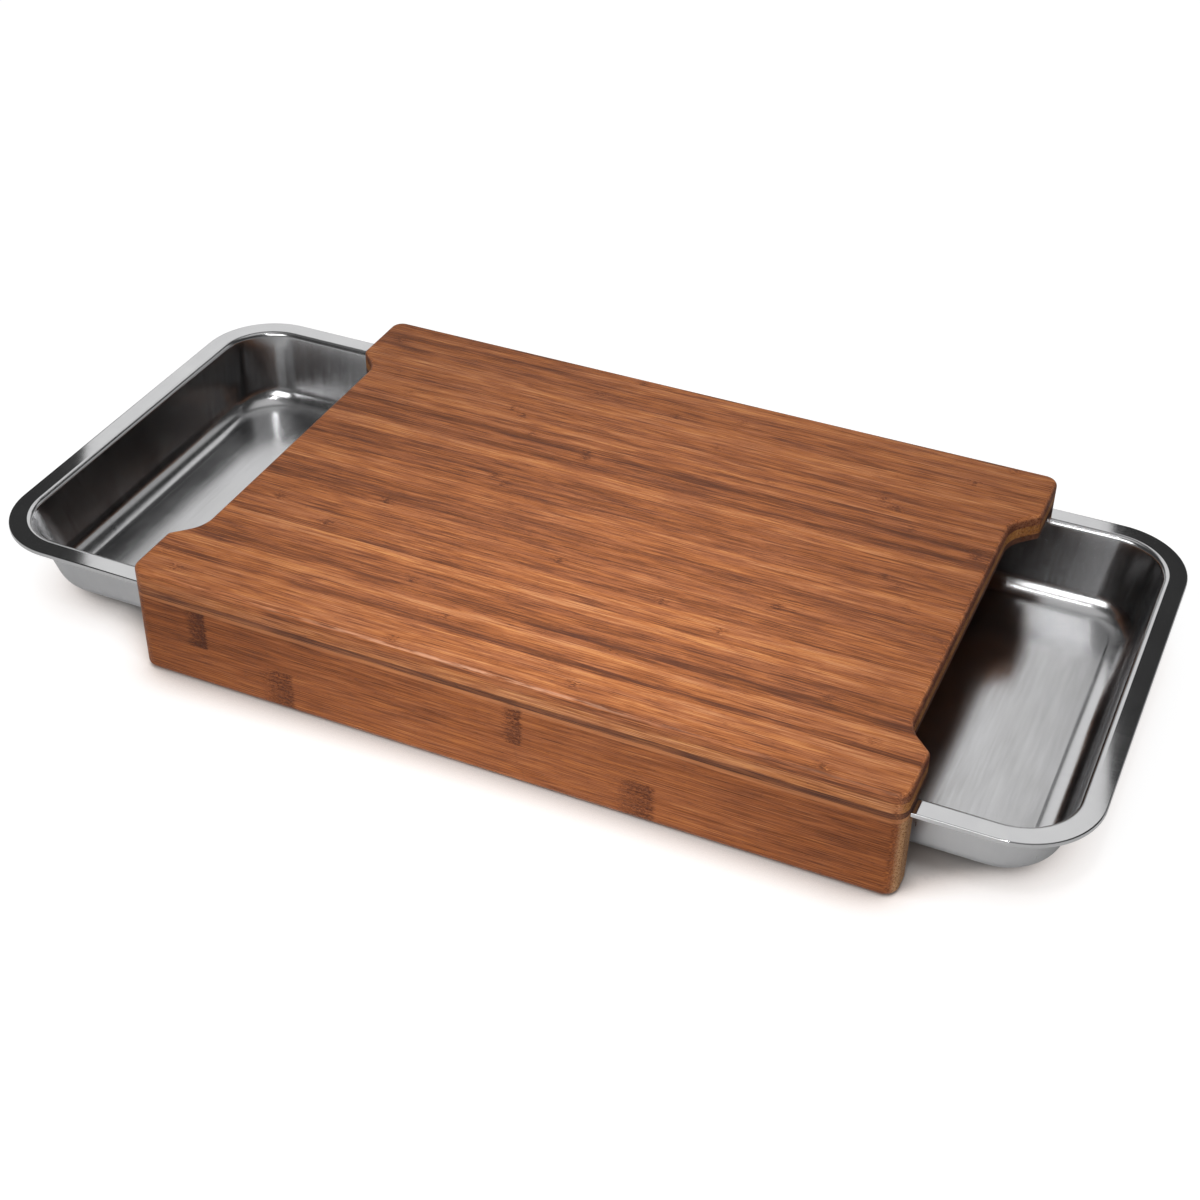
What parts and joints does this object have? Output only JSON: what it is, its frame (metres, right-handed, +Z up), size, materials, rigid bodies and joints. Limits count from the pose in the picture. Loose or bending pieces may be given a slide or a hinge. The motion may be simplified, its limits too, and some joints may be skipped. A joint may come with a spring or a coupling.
{
  "type": "cutting board with drawer trays",
  "caption": "Laminated bamboo cutting board on two rails, with a scoop at each short side over a pull-out steel tray that slides in rebates under the board.",
  "frame": {"origin": "under the middle of the board, on the surface that it stands on", "axes": "+X along the board's long side towards the right tray, +Y to its back, +Z up"},
  "size_m": [0.5801, 0.275, 0.062],
  "materials": {
    "bamboo_top": "oiled dark bamboo, strips along the length",
    "bamboo_core": "lighter bamboo ply",
    "bamboo_under": "dark bamboo ply",
    "bamboo_rail": "oiled bamboo, flat grain with dark nodes",
    "pin_wood": "plain beech",
    "tray_steel": "satin rim and outside, polished inside"
  },
  "bodies": {
    "board": {"top_ply": "bamboo_top", "core_ply": "bamboo_core", "bottom_ply": "bamboo_under", "front_rail_lower": "bamboo_rail", "front_rail_upper": "bamboo_rail", "back_rail_lower": "bamboo_rail", "back_rail_upper": "bamboo_rail", "front_rail_pins": "pin_wood", "back_rail_pins": "pin_wood", "divider_dowels": "pin_wood", "divider_lower": "bamboo_rail", "divider_upper": "bamboo_rail"},
    "left_tray": {"left_tray": "tray_steel"},
    "right_tray": {"right_tray": "tray_steel"}
  },
  "joints": [
    {"name": "left_tray_slide", "type": "slide", "parent": "board", "child": "left_tray", "axis": [-1, 0, 0], "range_m": [-0.1045, 0.1]},
    {"name": "right_tray_slide", "type": "slide", "parent": "board", "child": "right_tray", "axis": [1, 0, 0], "range_m": [-0.081, 0.122]}
  ]
}
